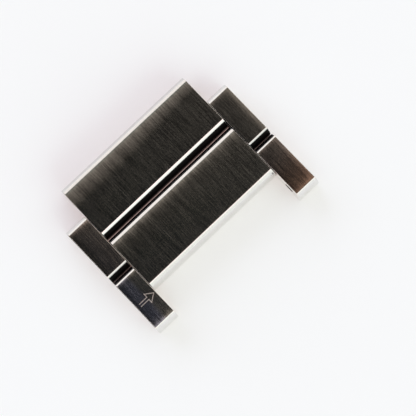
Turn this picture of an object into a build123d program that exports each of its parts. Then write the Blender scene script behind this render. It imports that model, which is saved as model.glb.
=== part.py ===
from build123d import *
from math import cos, radians, sin, sqrt, tan
import os

# A section taken out of a three-row solid-link watch bracelet, lying with its inner face up.
# X runs along the bracelet from front to rear, Y along the pins from left to right, Z up.
# The outer face rests at Z zero, and the middle pin crosses the origin. All lengths in mm.

# Bracelet
link_pitch = 7.0            # from one link's middle to the next in the same row
bracelet_width = 22.0       # over both side rows
centre_width = 16.8         # centre link, along the pins
thickness = 2.5             # outer face to inner face

# Gaps between links
row_gap = 0.05              # between a centre link and a side link
centre_end_slit = 0.18      # between the round ends of two centre links, at pin height
side_end_slit = 0.1         # the same, side links
wall_relief = 3.0           # degrees that an end leans back below its pin

# Rounding of the links
centre_end_round = 0.55     # inner face into the round end, centre links
side_end_round = 0.3        # the same, side links
outer_face_round = 0.25     # outer face into the end wall
seam_round = 0.045          # edges along the seams between rows
rim_round = 0.1             # outer side edges of the bracelet

# Pins
pin_diameter = 1.0
pin_clearance = 0.03        # on the radius, in every plain bore
pin_recess = 0.25           # pin end below the side face
pin_end_chamfer = 0.08
bore_mouth_chamfer = 0.08

# Collars
collar_wall = 0.29          # 1.6 across outside, on a 1.0 pin
collar_length = 4.0
collar_grip = 0.01          # on the radius, between collar and pin
collar_clearance = 0.03     # on the radius, in its seat
collar_end_play = 0.05      # left in the seat along the pin
collar_chamfer = 0.05

# Engraved arrow on the left rear side link, along X and Y as shares of the link's width
arrow_outline_shares = (
    (-0.057, -0.315), (-0.057, 0.10), (-0.217, 0.10), (0.0, 0.41),
    (0.217, 0.10), (0.057, 0.10), (0.057, -0.315),
)
arrow_shift_share = 0.068   # arrow from the link's middle towards the rear
arrow_line_share = 0.035
arrow_depth = 0.05

overrun = 1.0               # how far every cut runs past what it cuts

# Worked out from the sizes above
pin_spacing = link_pitch / 2
pin_height = thickness / 2
pin_radius = pin_diameter / 2
bore_radius = pin_radius + pin_clearance
collar_bore_radius = pin_radius + collar_grip
collar_radius = collar_bore_radius + collar_wall
seat_radius = collar_radius + collar_clearance
seat_depth = collar_length + collar_end_play
side_inner_y = centre_width / 2 + row_gap
side_outer_y = bracelet_width / 2
side_width = side_outer_y - side_inner_y
side_middle_y = (side_inner_y + side_outer_y) / 2

# Pin axes along the bracelet: free front bore, three pins, free rear bores
front_bore_x, front_pin_x, middle_pin_x, rear_pin_x, rear_bore_x = (
    step * pin_spacing for step in (-2, -1, 0, 1, 2)
)


def along_y(radius, start_y, end_y, x, far_radius=None):
    """A round bar or cone along a pin axis, from start_y to end_y."""
    length = abs(end_y - start_y)
    towards = (0, 1, 0) if end_y > start_y else (0, -1, 0)
    place = Plane(origin=(x, start_y, pin_height), x_dir=(1, 0, 0), z_dir=towards)
    if far_radius is None:
        shape = Cylinder(radius, length, align=(Align.CENTER, Align.CENTER, Align.MIN))
    else:
        shape = Cone(radius, far_radius, length, align=(Align.CENTER, Align.CENTER, Align.MIN))
    return place * shape


def link_outline(front_x, rear_x, end_slit, end_round):
    """Side view of a link on its two pin axes: round upper ends, walls that lean back below."""
    end_radius = (pin_spacing - end_slit) / 2
    crease_reach = sqrt(end_radius ** 2 - (thickness - pin_height) ** 2)
    relief = radians(wall_relief)
    turn_reach = end_radius * cos(relief)
    turn_height = pin_height - end_radius * sin(relief)
    foot_reach = turn_reach - turn_height * tan(relief)
    with BuildSketch(Plane.XZ) as outline:
        with BuildLine():
            Line((front_x - crease_reach, thickness), (rear_x + crease_reach, thickness))
            ThreePointArc((rear_x + crease_reach, thickness), (rear_x + end_radius, pin_height),
                          (rear_x + turn_reach, turn_height))
            Line((rear_x + turn_reach, turn_height), (rear_x + foot_reach, 0))
            Line((rear_x + foot_reach, 0), (front_x - foot_reach, 0))
            Line((front_x - foot_reach, 0), (front_x - turn_reach, turn_height))
            ThreePointArc((front_x - turn_reach, turn_height), (front_x - end_radius, pin_height),
                          (front_x - crease_reach, thickness))
        make_face()
        fillet(outline.vertices().group_by(Axis.Y)[-1], radius=end_round)
        fillet(outline.vertices().group_by(Axis.Y)[0], radius=outer_face_round)
    return outline.sketch


def link_bar(front_x, rear_x, end_slit, end_round, left_y, right_y):
    """A plain link body between two side faces."""
    outline = link_outline(front_x, rear_x, end_slit, end_round)
    bar = extrude(outline, amount=(right_y - left_y) / 2, both=True)
    return Pos(0, (left_y + right_y) / 2, 0) * bar


def edges_of_face_at(body, y):
    """All edges that lie in the side face at y."""
    side = body.faces().filter_by(Axis.Y).sort_by(lambda face: abs(face.center().Y - y))[0]
    return side.edges()


def centre_link(front_x, rear_x):
    """Centre link: two bores right through, each with a collar seat opening at the right face."""
    left_y = -centre_width / 2
    right_y = centre_width / 2
    body = link_bar(front_x, rear_x, centre_end_slit, centre_end_round, left_y, right_y)
    for face_y in (left_y, right_y):
        body = fillet(edges_of_face_at(body, face_y), radius=seam_round)
    for x in (front_x, rear_x):
        body -= along_y(bore_radius, left_y - overrun, right_y + overrun, x)
        body -= along_y(seat_radius, right_y + overrun, right_y - seat_depth, x)
    return body


def side_link(front_x, rear_x, side):
    """Side link, left for side -1 and right for side 1: two bores with chamfered outer mouths."""
    inner_y = side * side_inner_y
    outer_y = side * side_outer_y
    body = link_bar(front_x, rear_x, side_end_slit, side_end_round,
                    min(inner_y, outer_y), max(inner_y, outer_y))
    body = fillet(edges_of_face_at(body, inner_y), radius=seam_round)
    body = fillet(edges_of_face_at(body, outer_y), radius=rim_round)
    for x in (front_x, rear_x):
        body -= along_y(bore_radius, inner_y - side * overrun, outer_y + side * overrun, x)
        body -= along_y(bore_radius, outer_y - side * bore_mouth_chamfer, outer_y, x,
                        far_radius=bore_radius + bore_mouth_chamfer)
    return body


def arrow_groove(front_x, rear_x):
    """The outlined arrow that shows which way the pin is pushed out."""
    middle_x = (front_x + rear_x) / 2 + arrow_shift_share * side_width
    points = [(middle_x + along * side_width, across * side_width - side_middle_y)
              for along, across in arrow_outline_shares]
    floor = Plane.XY.offset(thickness - arrow_depth)
    with BuildSketch(floor) as lines:
        with BuildLine():
            Polyline(*points)
        trace(line_width=arrow_line_share * side_width)
    return extrude(lines.sketch, amount=arrow_depth + overrun)


def link_pin(x):
    """Straight pin through all three rows, its ends just below the side faces."""
    end_y = bracelet_width / 2 - pin_recess
    pin = along_y(pin_radius, -end_y, end_y, x)
    return chamfer(pin.edges().filter_by(GeomType.CIRCLE), length=pin_end_chamfer)


def pin_collar(x):
    """Tube in the centre link's seat that grips the pin by friction."""
    end_y = centre_width / 2 - collar_end_play / 2
    start_y = end_y - collar_length
    tube = along_y(collar_radius, start_y, end_y, x)
    tube = chamfer(tube.edges().filter_by(GeomType.CIRCLE), length=collar_chamfer)
    return tube - along_y(collar_bore_radius, start_y - overrun, end_y + overrun, x)


parts = {
    "centre_link_front": centre_link(front_bore_x, front_pin_x),
    "centre_link_rear": centre_link(middle_pin_x, rear_pin_x),
    "side_link_left_front": side_link(front_pin_x, middle_pin_x, -1),
    "side_link_right_front": side_link(front_pin_x, middle_pin_x, 1),
    "side_link_left_rear": side_link(rear_pin_x, rear_bore_x, -1) - arrow_groove(rear_pin_x, rear_bore_x),
    "side_link_right_rear": side_link(rear_pin_x, rear_bore_x, 1),
}
for place, pin_x in (("front", front_pin_x), ("middle", middle_pin_x), ("rear", rear_pin_x)):
    parts[f"link_pin_{place}"] = link_pin(pin_x)
    parts[f"pin_collar_{place}"] = pin_collar(pin_x)

os.makedirs("parts", exist_ok=True)
for name, shape in parts.items():
    export_step(shape, f"parts/{name}.step")
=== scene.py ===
import math

import bpy
from mathutils import Matrix, Vector


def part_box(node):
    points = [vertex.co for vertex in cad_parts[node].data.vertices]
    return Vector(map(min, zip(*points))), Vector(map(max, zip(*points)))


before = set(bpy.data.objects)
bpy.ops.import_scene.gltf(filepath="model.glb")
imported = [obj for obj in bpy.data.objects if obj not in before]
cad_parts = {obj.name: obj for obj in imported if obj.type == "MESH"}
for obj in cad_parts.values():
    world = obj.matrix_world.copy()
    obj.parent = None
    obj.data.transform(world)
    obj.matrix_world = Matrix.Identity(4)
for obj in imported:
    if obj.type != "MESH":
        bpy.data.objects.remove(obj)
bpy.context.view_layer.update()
MM = 0.001

# The centre links, front and rear: two solid steel blocks, the widest pieces of the bracelet.
# Their flat faces are brushed along the bracelet, and their round ends are polished bright.
# Each is milled from one bar, bored for two pins, and its crests are broken by hand on a wheel.


def add(tree, kind, inputs=(), **settings):
    """Adds a node. Each input is a name or number with a value or another node's output."""
    node = tree.nodes.new(kind)
    for name, value in settings.items():
        setattr(node, name, value)
    for socket, value in dict(inputs).items():
        if isinstance(value, bpy.types.NodeSocket):
            tree.links.new(value, node.inputs[socket])
        else:
            node.inputs[socket].default_value = value
    return node


def calc(tree, operation, a, b=0.0, c=0.0):
    """One step of arithmetic on numbers."""
    return add(tree, "ShaderNodeMath", {0: a, 1: b, 2: c}, operation=operation).outputs[0]


def ramp(tree, value, low, high, at_low=0.0, at_high=1.0):
    """Goes smoothly from at_low to at_high while value goes from low to high."""
    node = add(tree, "ShaderNodeMapRange", {"Value": value, "From Min": low, "From Max": high,
               "To Min": at_low, "To Max": at_high}, interpolation_type="SMOOTHSTEP")
    return node.outputs["Result"]


def blend_colour(tree, factor, first, second):
    """Goes from the first colour to the second as factor goes from 0 to 1."""
    node = add(tree, "ShaderNodeMix", {"Factor": factor, "A": (0, 0, 0, 1), "B": (0, 0, 0, 1)},
               data_type="RGBA")
    for socket, value in ((node.inputs[6], first), (node.inputs[7], second)):
        if isinstance(value, bpy.types.NodeSocket):
            tree.links.new(value, socket)
        else:
            socket.default_value = (*value, 1)
    return node.outputs[2]


def new_group(name, inputs, outputs):
    """Starts a shader node group. inputs maps a name to its socket type and default."""
    group = bpy.data.node_groups.new(name, "ShaderNodeTree")
    for socket_name, (kind, default) in inputs.items():
        socket = group.interface.new_socket(socket_name, in_out="INPUT", socket_type=kind)
        if default is not None:
            socket.default_value = default
    for socket_name, kind in outputs.items():
        group.interface.new_socket(socket_name, in_out="OUTPUT", socket_type=kind)
    return group, group.nodes.new("NodeGroupInput").outputs, group.nodes.new("NodeGroupOutput").inputs


def brushing_group():
    """Long fine strokes along X, as a belt leaves them, with a few single scratches."""
    stroke_length = 2 * MM
    stroke_width = 0.07 * MM
    fine_share, nick_share = 0.85, 0.42     # of the strokes' strength
    low, high = 0.3, 0.7                    # most of a noise's values lie between these
    nick_low, nick_high = 0.25, 0.75
    scratch_low, scratch_high = 0.77, 0.84  # only a noise's highest values make a scratch
    group, given, out = new_group("brushing", {
        "Position": ("NodeSocketVector", None),
        "Stroke Length": ("NodeSocketFloat", stroke_length),
        "Stroke Width": ("NodeSocketFloat", stroke_width),
    }, {"Strokes": "NodeSocketFloat", "Clouds": "NodeSocketFloat", "Scratches": "NodeSocketFloat"})
    across = calc(group, "DIVIDE", 1.0, given["Stroke Width"])
    along = calc(group, "DIVIDE", 1.0, given["Stroke Length"])

    def strokes(width_share, length_share, offset, detail):
        stretch = add(group, "ShaderNodeCombineXYZ", {
            0: calc(group, "DIVIDE", along, length_share),
            1: calc(group, "DIVIDE", across, width_share),
            2: calc(group, "DIVIDE", across, width_share)}).outputs[0]
        place = add(group, "ShaderNodeVectorMath", {0: given["Position"], 1: stretch},
                    operation="MULTIPLY").outputs[0]
        place = add(group, "ShaderNodeVectorMath", {0: place, 1: offset}, operation="ADD").outputs[0]
        noise = add(group, "ShaderNodeTexNoise", {"Vector": place, "Scale": 1.0, "Detail": detail,
                    "Roughness": 0.6})
        return noise.outputs["Fac"]

    fine = strokes(width_share=1.0, length_share=1.0, offset=(0, 0, 0), detail=2)
    nicks = strokes(width_share=1.2, length_share=0.1, offset=(19.0, 71.0, 43.0), detail=0)
    clouds = strokes(width_share=11.0, length_share=6.0, offset=(37.0, 11.0, 5.0), detail=1)
    single = strokes(width_share=1.0, length_share=2.0, offset=(91.0, 57.0, 23.0), detail=0)
    mixed = calc(group, "MULTIPLY_ADD", ramp(group, nicks, nick_low, nick_high, -1.0, 1.0), nick_share,
                 calc(group, "MULTIPLY", ramp(group, fine, low, high, -1.0, 1.0), fine_share))
    group.links.new(mixed, out["Strokes"])
    group.links.new(ramp(group, clouds, low, high, -1.0, 1.0), out["Clouds"])
    group.links.new(ramp(group, single, scratch_low, scratch_high), out["Scratches"])
    return group


brushing = brushing_group()


def link_faces_group():
    """Where a point lies on a link: its way in from every side and its depth under a flat."""
    flat_depths = (0.0005 * MM, 0.0075 * MM)    # a flat ends between these depths
    inside_ends = (0.9 * MM, 1.0 * MM)          # bores and engraving lie further in than this
    inside_sides = (0.1 * MM, 0.15 * MM)
    group, given, out = new_group("link_faces", {
        "Position": ("NodeSocketVector", None),
        "Low": ("NodeSocketVector", None),
        "High": ("NodeSocketVector", None),
    }, {"From Front": "NodeSocketFloat", "From Rear": "NodeSocketFloat", "From Left": "NodeSocketFloat",
        "From Right": "NodeSocketFloat", "Depth": "NodeSocketFloat", "Flat": "NodeSocketFloat",
        "Inside": "NodeSocketFloat"})
    from_low = add(group, "ShaderNodeSeparateXYZ", {0: add(group, "ShaderNodeVectorMath", {
        0: given["Position"], 1: given["Low"]}, operation="SUBTRACT").outputs[0]}).outputs
    from_high = add(group, "ShaderNodeSeparateXYZ", {0: add(group, "ShaderNodeVectorMath", {
        0: given["High"], 1: given["Position"]}, operation="SUBTRACT").outputs[0]}).outputs
    depth = calc(group, "MINIMUM", from_low[2], from_high[2])
    inset = calc(group, "MINIMUM", from_low[1], from_high[1])
    way_in = calc(group, "MINIMUM", from_low[0], from_high[0])
    for name, value in (("From Front", from_low[0]), ("From Rear", from_high[0]),
                        ("From Left", from_low[1]), ("From Right", from_high[1]), ("Depth", depth)):
        group.links.new(value, out[name])
    group.links.new(ramp(group, depth, *flat_depths, 1.0, 0.0), out["Flat"])
    inside = calc(group, "MULTIPLY", ramp(group, way_in, *inside_ends), ramp(group, inset, *inside_sides))
    group.links.new(inside, out["Inside"])
    return group


link_faces = link_faces_group()
# A near-black painted as shade in the gaps between links, also used for the thin dark lines along the seams
gap_shade_and_seam_line = (0.006, 0.005, 0.005)
engraved = (0.52, 0.51, 0.50)
bore_wall = (0.32, 0.30, 0.28)


def link_steel(node_name, painted_shading, polish_highlights, rolls, gap_end, gap_shade_depth, seams, seam_length):
    """Brushed flats that roll off at their edges, polished ends and sides, and painted shade in the gaps.

    Painted shading is two colours of the flats, and where the first turns into the second. The colours are
    darker than bare steel partly as painted shade, and their tints and changes are painted shade and
    painted reflections.
    Polish highlights are the colours of the polished faces at the front and at the rear, which differ as a
    painted highlight.
    A roll is the side it is on, how far in the flat begins there, its reach and slope, and its kind.
    Painted shade lies in the gap at gap_end, from the given depth down, and a thin dark line of the same
    colour runs along the seams, which are the sides that face the next row, over seam_length from that end.
    """
    low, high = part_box(node_name)
    material = bpy.data.materials.new(f"{node_name}_steel")
    material.use_nodes = True
    tree = material.node_tree
    tree.nodes.clear()
    position = add(tree, "ShaderNodeTexCoord").outputs["Object"]
    strokes, clouds, scratches = add(tree, "ShaderNodeGroup", {"Position": position},
                                     node_tree=brushing).outputs
    faces = add(tree, "ShaderNodeGroup", {"Position": position, "Low": low, "High": high},
                node_tree=link_faces).outputs
    flat, depth, inside = faces["Flat"], faces["Depth"], faces["Inside"]

    # The flats' colour: strokes and clouds change it, and single scratches are lighter
    stroke_tone, cloud_tone, scratch_tone = 0.34, 0.06, 0.9
    tone = calc(tree, "MULTIPLY_ADD", clouds, cloud_tone, 1.0)
    tone = calc(tree, "MULTIPLY_ADD", strokes, stroke_tone, tone)
    tone = calc(tree, "MULTIPLY_ADD", scratches, scratch_tone, tone)
    # The flats' two colours carry painted shade and painted reflection tints
    first_shade, second_shade, shade_side, shade_start, shade_end = painted_shading
    shade = blend_colour(tree, ramp(tree, faces[shade_side], shade_start, shade_end),
                         first_shade, second_shade)
    toned = add(tree, "ShaderNodeVectorMath", {0: shade, "Scale": tone}, operation="SCALE").outputs[0]

    # The polished ends and sides: fine hairlines in a slight haze
    hairline_length, hairline_width = 2 * MM, 0.03 * MM
    hairline_tone, haze_tone = 0.03, 0.02
    highlight_blend = (1 * MM, 5 * MM)         # from the front end's colour to the rear end's, a painted highlight
    hairlines = add(tree, "ShaderNodeGroup", {
        "Position": position, "Stroke Length": hairline_length, "Stroke Width": hairline_width},
        node_tree=brushing).outputs
    shine = calc(tree, "MULTIPLY_ADD", hairlines["Clouds"], haze_tone, 1.0)
    shine = calc(tree, "MULTIPLY_ADD", hairlines["Strokes"], hairline_tone, shine)
    bright = blend_colour(tree, ramp(tree, faces["From Front"], *highlight_blend), *polish_highlights)
    polished = add(tree, "ShaderNodeVectorMath", {0: bright, "Scale": shine}, operation="SCALE")
    colour = blend_colour(tree, flat, polished.outputs[0], toned)

    # The bores and the engraved groove are as the tools left them
    bore_depths = (0.3 * MM, 0.4 * MM)      # the bores begin this far under a flat
    groove_starts, groove_ends = (0.01 * MM, 0.03 * MM), (0.06 * MM, 0.08 * MM)
    engraved_tones = (0.6, 1.4)
    bored = calc(tree, "MULTIPLY", inside, ramp(tree, depth, *bore_depths))
    colour = blend_colour(tree, bored, colour, bore_wall)
    in_groove = calc(tree, "SUBTRACT", ramp(tree, depth, *groove_starts), ramp(tree, depth, *groove_ends))
    cut = calc(tree, "MULTIPLY", inside, in_groove)
    scribed = add(tree, "ShaderNodeVectorMath", {
        0: engraved, "Scale": ramp(tree, hairlines["Strokes"], -1.0, 1.0, *engraved_tones)},
        operation="SCALE")
    colour = blend_colour(tree, cut, colour, scribed.outputs[0])

    # Painted shade in the gap to the next link, and a thin dark line of the same colour along the seams
    gap_reach = (0.8 * MM, 0.9 * MM)
    gap_shade_fade = 0.05 * MM
    unshaded_sides = (0.02 * MM, 0.08 * MM)    # no painted shade this near to the side faces
    seam_fade = 0.3 * MM
    seam_depths = (0.004 * MM, 0.02 * MM)
    seam_reach = (0.03 * MM, 0.045 * MM)
    gap_way_in = faces["From " + gap_end]
    shade_and_seam_lines = calc(tree, "MULTIPLY", ramp(tree, gap_way_in, *gap_reach, 1.0, 0.0),
                 ramp(tree, depth, gap_shade_depth, gap_shade_depth + gap_shade_fade))
    from_side = calc(tree, "MINIMUM", faces["From Left"], faces["From Right"])
    shade_and_seam_lines = calc(tree, "MULTIPLY", shade_and_seam_lines, ramp(tree, from_side, *unshaded_sides))
    seam_lies = ramp(tree, gap_way_in, seam_length, seam_length + seam_fade, 1.0, 0.0)
    seam_lies = calc(tree, "MULTIPLY", seam_lies, ramp(tree, depth, *seam_depths))
    for side in seams:
        seam_line = calc(tree, "MULTIPLY", seam_lies, ramp(tree, faces[side], *seam_reach, 1.0, 0.0))
        shade_and_seam_lines = calc(tree, "MAXIMUM", shade_and_seam_lines, seam_line)
    colour = blend_colour(tree, shade_and_seam_lines, colour, gap_shade_and_seam_line)

    # Roughness: satin on the flats, mirror-like where polished, dull in bores, cuts, the painted gap shade
    # and the seam lines
    satin, gloss, dull_roughness = 0.18, 0.11, 0.5
    roughness_change = 0.03                 # by strokes and hairlines
    brushed = calc(tree, "MULTIPLY_ADD", strokes, roughness_change, satin)
    shiny = calc(tree, "MULTIPLY_ADD", hairlines["Strokes"], roughness_change, gloss)
    roughness = calc(tree, "MULTIPLY_ADD", flat, calc(tree, "SUBTRACT", brushed, shiny), shiny)
    dull = calc(tree, "MAXIMUM", calc(tree, "MAXIMUM", bored, cut), shade_and_seam_lines)
    to_dull = calc(tree, "SUBTRACT", dull_roughness, roughness)
    roughness = calc(tree, "MULTIPLY_ADD", dull, to_dull, roughness)

    # Shape finer than the mesh: strokes, and a slight roll-off towards the edges.
    # A broad roll is narrower near the right side, and its far side is uneven.
    stroke_height = 0.0004 * MM
    narrow_share, narrow_length = 0.66, 10 * MM
    reach_change, slope_change = 0.045, 0.06
    height = calc(tree, "MULTIPLY", strokes, stroke_height)
    for side, start, reach, slope, kind in rolls:
        way_in = calc(tree, "MAXIMUM", calc(tree, "SUBTRACT", faces[side], start), 0.0)
        if kind == "broad":
            reach = ramp(tree, faces["From Right"], 0.0, narrow_length, narrow_share * reach, reach)
            reach = calc(tree, "MULTIPLY", reach, calc(tree, "MULTIPLY_ADD", clouds, reach_change, 1.0))
            near = ramp(tree, calc(tree, "DIVIDE", way_in, reach), -1.0, 1.0, 1.0, 0.0)
        else:
            near = calc(tree, "EXPONENT", calc(tree, "DIVIDE", way_in, -reach))
        drop = calc(tree, "MULTIPLY", reach, -slope)
        uneven = calc(tree, "MULTIPLY", drop, calc(tree, "MULTIPLY_ADD", clouds, slope_change, 1.0))
        height = calc(tree, "MULTIPLY_ADD", near, uneven, height)
    height = calc(tree, "MULTIPLY", height, flat)
    bump = add(tree, "ShaderNodeBump", {"Strength": 1.0, "Distance": 1.0, "Height": height})

    # The strokes run along X, so the highlights stretch across them
    across_strokes = add(tree, "ShaderNodeCombineXYZ", {"X": 0.1, "Y": 1.0, "Z": 0.0})
    steel = add(tree, "ShaderNodeBsdfPrincipled", {
        "Base Color": colour, "Metallic": calc(tree, "SUBTRACT", 1.0, shade_and_seam_lines), "Roughness": roughness,
        "Specular IOR Level": 0.1, "Anisotropic": 0.6,
        "Normal": bump.outputs[0], "Tangent": across_strokes.outputs[0]})
    add(tree, "ShaderNodeOutputMaterial", {"Surface": steel.outputs[0]})
    return material


def dress(node_name, material):
    """Gives a piece of the frame its finish."""
    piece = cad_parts[node_name]
    piece.data.materials.clear()
    piece.data.materials.append(material)


facing_end = {"front": "Rear", "rear": "Front"}     # the end that faces the next link in its row
seam_roll = (0.0, 0.12 * MM, 0.025, "sharp")        # beside the next row
half_link, whole_link = 2.6 * MM, 6.2 * MM          # how far a link's seam with the next row runs
shade_blend = (1.0 * MM, 8.0 * MM)
centre_inset = 0.80 * MM                            # from a link's end to its flat
crest_rolls = {
    "front": (("From Front", centre_inset, 1.9 * MM, 0.1, "broad"),
              ("From Front", centre_inset, 0.17 * MM, 0.15, "sharp")),
    "rear": (("From Front", centre_inset, 1.5 * MM, 0.062, "sharp"),
             ("From Front", centre_inset, 0.25 * MM, 0.08, "sharp")),
}
centre_rolls = (("From Rear", centre_inset, 0.1 * MM, 0.05, "sharp"),
                ("From Left", *seam_roll), ("From Right", *seam_roll))
# Painted shading: each centre flat is darker towards its right side, and the front one is darker than the
# rear one
centre_painted_shading = {
    "front": ((0.137, 0.144, 0.127), (0.158, 0.166, 0.146), "From Right", *shade_blend),
    "rear": ((0.165, 0.174, 0.151), (0.174, 0.183, 0.159), "From Right", *shade_blend),
}
# Painted highlight: the front link's rear crest is lighter than its front crest
centre_polish_highlights = {"front": ((0.75, 0.74, 0.72), (0.91, 0.90, 0.88)),
                 "rear": ((0.80, 0.79, 0.77), (0.80, 0.79, 0.77))}
centre_gap_shade_depth = {"front": 0.095 * MM, "rear": 0.23 * MM}   # depth at which the painted shade in the gap begins
centre_seam = {"front": half_link, "rear": whole_link}
for place in ("front", "rear"):
    node_name = f"centre_link_{place}"
    rolls = crest_rolls[place] + centre_rolls
    dress(node_name, link_steel(node_name, centre_painted_shading[place], centre_polish_highlights[place], rolls,
                                facing_end[place], centre_gap_shade_depth[place], ("From Left", "From Right"),
                                centre_seam[place]))

# The side links: two pairs of narrow links, one left and one right of the centre links.
# The same steel as those, brushed along the bracelet, with the outer edge rolled by hand.
# The left rear one has a painted cold reflection on its outer part, and the right rear one a painted warm
# reflection at its end.
rim_rolls = {"front": (0.0, 0.36 * MM, 0.21, "sharp"), "rear": (0.0, 0.31 * MM, 0.205, "sharp")}
side_inset = 0.67 * MM
side_polish_highlights = {"front": ((0.80, 0.79, 0.77), (0.77, 0.76, 0.74)),
               "rear": ((0.85, 0.84, 0.82), (0.83, 0.82, 0.80))}
rear_rolls = {("left", "front"): (side_inset, 0.1 * MM, 0.05, "sharp"),
              ("right", "front"): (side_inset, 0.1 * MM, 0.05, "sharp"),
              ("left", "rear"): (side_inset, 0.5 * MM, 0.08, "sharp"),
              ("right", "rear"): (side_inset, 1.1 * MM, 0.082, "sharp")}
# Depth at which the painted shade in the gap begins, for each side link
side_gap_shade_depth = {("left", "front"): 0.11 * MM, ("left", "rear"): 0.16 * MM,
                    ("right", "front"): 0.075 * MM, ("right", "rear"): 0.11 * MM}
side_seam = {"front": whole_link, "rear": half_link}
# Painted shading: the left links are painted lighter than the right ones, against the tent's dimmer left
# half
side_painted_shading = {
    ("left", "front"): ((0.251, 0.244, 0.216), (0.285, 0.272, 0.235), "From Left", 1.0 * MM, 2.0 * MM),
    ("left", "rear"): ((0.293, 0.321, 0.372), (0.266, 0.277, 0.243), "From Left", 1.1 * MM, 1.8 * MM),
    ("right", "front"): ((0.143, 0.148, 0.130), (0.148, 0.153, 0.134), "From Left", 1.0 * MM, 2.0 * MM),
    ("right", "rear"): ((0.164, 0.156, 0.137), (0.195, 0.141, 0.102), "From Front", 1.0 * MM, 6.5 * MM),
}
for side, outer, seam in (("left", "From Left", "From Right"), ("right", "From Right", "From Left")):
    for place in ("front", "rear"):
        node_name = f"side_link_{side}_{place}"
        rolls = (
            ("From Front", side_inset, 0.4 * MM, 0.065, "sharp"),
            ("From Front", side_inset, 0.12 * MM, 0.06, "sharp"),
            ("From Rear", *rear_rolls[side, place]), (outer, *rim_rolls[place]), (seam, *seam_roll),
        )
        dress(node_name, link_steel(node_name, side_painted_shading[side, place], side_polish_highlights[place], rolls,
                                    facing_end[place], side_gap_shade_depth[side, place], (seam,),
                                    side_seam[place]))


# The pins: drawn steel rods through all three rows, cut to length and ground flat at the ends.
# Only their ends show, in the bores of the side links, a little below the side faces.


def turned_steel(name, colour, roughness, ring_width):
    """Bright steel with fine rings round the pin's own line."""
    drift_length = 1 / 120          # long, so a ring hardly changes on its way round
    low, high = 0.3, 0.7            # most of the noise's values lie between these
    tones = (0.8, 1.15)
    roughness_shares = (0.8, 1.3)
    ring_height = 0.0008 * MM
    material = bpy.data.materials.new(name)
    material.use_nodes = True
    tree = material.node_tree
    tree.nodes.clear()
    position = add(tree, "ShaderNodeTexCoord").outputs["Object"]
    stretch = add(tree, "ShaderNodeVectorMath", {
        0: position, 1: (1 / drift_length, 1 / ring_width, 1 / drift_length)},
        operation="MULTIPLY").outputs[0]
    rings = add(tree, "ShaderNodeTexNoise", {"Vector": stretch, "Scale": 1.0, "Detail": 3.0}).outputs["Fac"]
    tone = ramp(tree, rings, low, high, *tones)
    toned = add(tree, "ShaderNodeVectorMath", {0: colour, "Scale": tone}, operation="SCALE").outputs[0]
    rough = ramp(tree, rings, low, high, *(roughness * share for share in roughness_shares))
    bump = add(tree, "ShaderNodeBump", {"Strength": 1.0, "Distance": ring_height, "Height": rings})
    steel = add(tree, "ShaderNodeBsdfPrincipled", {
        "Base Color": toned, "Metallic": 1.0, "Roughness": rough, "Normal": bump.outputs[0]})
    add(tree, "ShaderNodeOutputMaterial", {"Surface": steel.outputs[0]})
    return material


pin_steel = turned_steel("pin_steel", colour=(0.55, 0.54, 0.52), roughness=0.25, ring_width=0.05 * MM)
for place in ("front", "middle", "rear"):
    dress(f"link_pin_{place}", pin_steel)

# The collars: short steel tubes that sit in the centre links and hold the pins by friction.
# Turned from tube, so the tool's rings go round them. They hardly show once the links are joined.
collar_steel = turned_steel("collar_steel", colour=(0.50, 0.48, 0.45), roughness=0.35,
                            ring_width=0.08 * MM)
for place in ("front", "middle", "rear"):
    dress(f"pin_collar_{place}", collar_steel)

# The table top under the section: a plain matt white board, which runs on past the view.
# It has a painted pinkish glow, no lamp, which keeps it pale and shows in the slits where it lies in shade.
# From below it is clear, also in what the faces that rest on it mirror, so that they can be seen.
table_reach = 2.0
table_drop = 0.005 * MM         # keeps its surface off the faces that rest on it
mirror_reach = 0.05 * MM        # how far above it a face still counts as resting on it
board_white = (0.665, 0.752, 0.772, 1)
painted_board_glow = (0.26, 0.165, 0.145, 1)
board_roughness = 0.9
table_mesh = bpy.data.meshes.new("table_top")
corners = [(x * table_reach, y * table_reach, -table_drop) for x, y in ((-1, -1), (1, -1), (1, 1), (-1, 1))]
table_mesh.from_pydata(corners, [], [(0, 1, 2, 3)])
table_top = bpy.data.objects.new("table_top", table_mesh)
bpy.context.scene.collection.objects.link(table_top)
table_white = bpy.data.materials.new("table_white")
table_white.use_nodes = True
table_shader = table_white.node_tree.nodes["Principled BSDF"]
table_shader.inputs["Base Color"].default_value = board_white
table_shader.inputs["Roughness"].default_value = board_roughness
table_shader.inputs["Specular IOR Level"].default_value = 0.0
table_shader.inputs["Emission Color"].default_value = painted_board_glow
tree = table_white.node_tree
table_rays = add(tree, "ShaderNodeLightPath").outputs
# The painted glow shows only to camera and mirror rays
table_seen = calc(tree, "MAXIMUM", table_rays["Is Camera Ray"], table_rays["Is Glossy Ray"])
tree.links.new(table_seen, table_shader.inputs["Emission Strength"])
clear = add(tree, "ShaderNodeBsdfTransparent")
from_below = add(tree, "ShaderNodeNewGeometry").outputs["Backfacing"]
from_resting = calc(tree, "MULTIPLY", table_rays["Is Glossy Ray"],
                    calc(tree, "LESS_THAN", table_rays["Ray Length"], mirror_reach))
unseen = calc(tree, "MAXIMUM", from_below, from_resting)
table_surface = add(tree, "ShaderNodeMixShader", {
    0: unseen, 1: table_shader.outputs[0], 2: clear.outputs[0]})
tree.links.new(table_surface.outputs[0], tree.nodes["Material Output"].inputs["Surface"])
table_mesh.materials.append(table_white)

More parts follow.
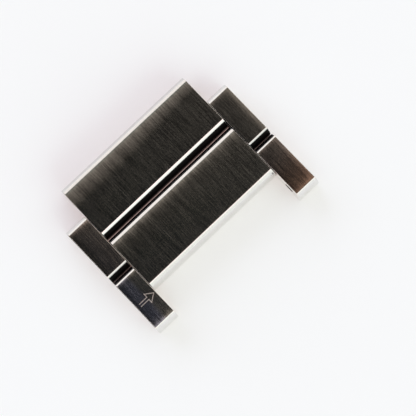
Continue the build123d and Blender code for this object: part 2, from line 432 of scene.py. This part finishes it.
# The light: a white tent with a dark opening above, which steel that faces up mirrors.
# The opening fades into the tent to the front and right, ends in a sharp hem to the rear,
# and runs down to the table on the left. Two soft lamps outside, front and rear, light the table.
world = bpy.data.worlds.new("tent")
bpy.context.scene.world = world
world.use_nodes = True
tree = world.node_tree
tree.nodes.clear()
opening_x, opening_y = -0.099, 0.04      # middle of the opening; all leans here are sines
left_stretch = 0.12                     # how slowly the opening closes to the left
opening_tones = (                       # lean away from the middle, and how bright it is there
    (0.0, 0.055), (0.05, 0.045), (0.09, 0.05), (0.14, 0.12), (0.19, 0.35), (0.26, 0.70), (0.36, 1.05),
    (1.0, 1.05),
)
hem_start, hem_end, hem_bright = 0.02, 0.07, 1.18
left_start, left_end, left_dim = -0.17, 0.0, 0.35   # the tent's left half is dimmer
low_start, low_end = 0.45, 0.90
low_bright = {1: 0.84, -1: 1.04}        # low down to the rear and to the front
# The tent's tints, and the leans between which one turns into the next
cold, warm, cold_to_warm = (0.86, 0.95, 1.28), (1.08, 0.99, 0.91), (0.02, 0.11)
rosy, warm_to_rosy = (1.19, 0.97, 0.925), (0.10, 0.18)
front_white, rear_white, front_to_rear = (1.03, 0.985, 0.96), (0.985, 1.0, 0.96), (0.0, 0.3)
rosy_to_white = (0.26, 0.60)
side_amber, side_fade_in, side_fade_out = (1.20, 0.98, 0.78), (0.20, 0.40), (0.55, 0.75)
below_table = (0.62, 0.62, 0.61)
below_fade = (-0.10, 0.0)
direction = add(tree, "ShaderNodeTexCoord").outputs["Generated"]
lean_x, lean_y, lean_z = add(tree, "ShaderNodeSeparateXYZ", {0: direction}).outputs
away_x = calc(tree, "SUBTRACT", lean_x, opening_x)
away_y = calc(tree, "SUBTRACT", lean_y, opening_y)
away_y = calc(tree, "MAXIMUM", away_y, calc(tree, "MULTIPLY", away_y, -left_stretch))
away_squared = calc(tree, "MULTIPLY_ADD", away_x, away_x, calc(tree, "MULTIPLY", away_y, away_y))
away = calc(tree, "SQRT", away_squared)
tones = add(tree, "ShaderNodeValToRGB", {"Fac": away})
stops = tones.color_ramp.elements
while len(stops) < len(opening_tones):
    stops.new(0.5)
for stop, (lean, brightness) in zip(stops, opening_tones):
    stop.position = lean
    stop.color = (brightness, brightness, brightness, 1)
hem = ramp(tree, lean_x, hem_start, hem_end, 0.0, hem_bright)
tent_light = calc(tree, "MAXIMUM", tones.outputs["Color"], hem)
left_shade = ramp(tree, lean_y, left_start, left_end, left_dim, 1.0)
left_shade = calc(tree, "MAXIMUM", left_shade, ramp(tree, lean_x, hem_start, hem_end))
tent_light = calc(tree, "MULTIPLY", tent_light, left_shade)
for towards, at_table in low_bright.items():
    low = ramp(tree, calc(tree, "MULTIPLY", lean_x, towards), low_start, low_end, 1.0, at_table)
    tent_light = calc(tree, "MULTIPLY", tent_light, low)
near_tint = blend_colour(tree, ramp(tree, away, *cold_to_warm), cold, warm)
near_tint = blend_colour(tree, ramp(tree, away, *warm_to_rosy), near_tint, rosy)
far_tint = blend_colour(tree, ramp(tree, lean_x, *front_to_rear), front_white, rear_white)
sideways = calc(tree, "ABSOLUTE", lean_y)
sides = calc(tree, "MULTIPLY", ramp(tree, sideways, *side_fade_in),
             ramp(tree, sideways, *side_fade_out, 1.0, 0.0))
far_tint = blend_colour(tree, sides, far_tint, side_amber)
tint = blend_colour(tree, ramp(tree, away, *rosy_to_white), near_tint, far_tint)
tent = add(tree, "ShaderNodeVectorMath", {0: tint, "Scale": tent_light}, operation="SCALE").outputs[0]
# Below the table the outer faces mirror a plain pale grey
tent = blend_colour(tree, ramp(tree, lean_z, *below_fade, 1.0, 0.0), tent, below_table)
front_lamp = (1.95, 1.90, 2.35)
rear_lamp = (2.30, 2.85, 2.60)
lamp_edge = (0.65, 0.85)
lit = (0.72, 0.70, 0.70)        # the tent's own glow on the table
for lamp, towards in ((front_lamp, -1), (rear_lamp, 1)):
    reach = ramp(tree, calc(tree, "MULTIPLY", lean_x, towards), *lamp_edge)
    light = add(tree, "ShaderNodeVectorMath", {0: lamp, "Scale": reach}, operation="SCALE").outputs[0]
    lit = add(tree, "ShaderNodeVectorMath", {0: light, 1: lit}, operation="ADD").outputs[0]
rays = add(tree, "ShaderNodeLightPath").outputs
seen = blend_colour(tree, rays["Is Glossy Ray"], lit, tent)
backdrop = (0.94, 0.94, 0.94)
seen = blend_colour(tree, rays["Is Camera Ray"], seen, backdrop)
background = add(tree, "ShaderNodeBackground", {"Color": seen, "Strength": 1.0})
add(tree, "ShaderNodeOutputWorld", {"Surface": background.outputs[0]})

# The camera: almost straight above the section, turned so that the bracelet runs down to the right.
aim = Vector((2.983, 1.078, 2.5)) * MM
tilt_to_rear = math.radians(7.13)
tilt_to_left = math.radians(4.0)
towards_camera = Vector((math.sin(tilt_to_rear), -math.sin(tilt_to_left), 0))
towards_camera.z = math.sqrt(1 - towards_camera.length_squared)
camera_distance = 191 * MM
sensor_width = 36
focal_length = 165.4
picture_up = Vector((-0.7237, 0.6862, 0))
picture_up = (picture_up - towards_camera * picture_up.dot(towards_camera)).normalized()
camera = bpy.data.objects.new("camera", bpy.data.cameras.new("camera"))
camera.data.sensor_width = sensor_width
camera.data.lens = focal_length
camera.data.clip_start = 10 * MM
camera.data.clip_end = 10
camera.matrix_world = Matrix.LocRotScale(
    aim + towards_camera * camera_distance,
    Matrix((picture_up.cross(towards_camera), picture_up, towards_camera)).transposed(), None)
bpy.context.scene.collection.objects.link(camera)
bpy.context.scene.camera = camera
bpy.context.scene.view_settings.view_transform = "Standard"
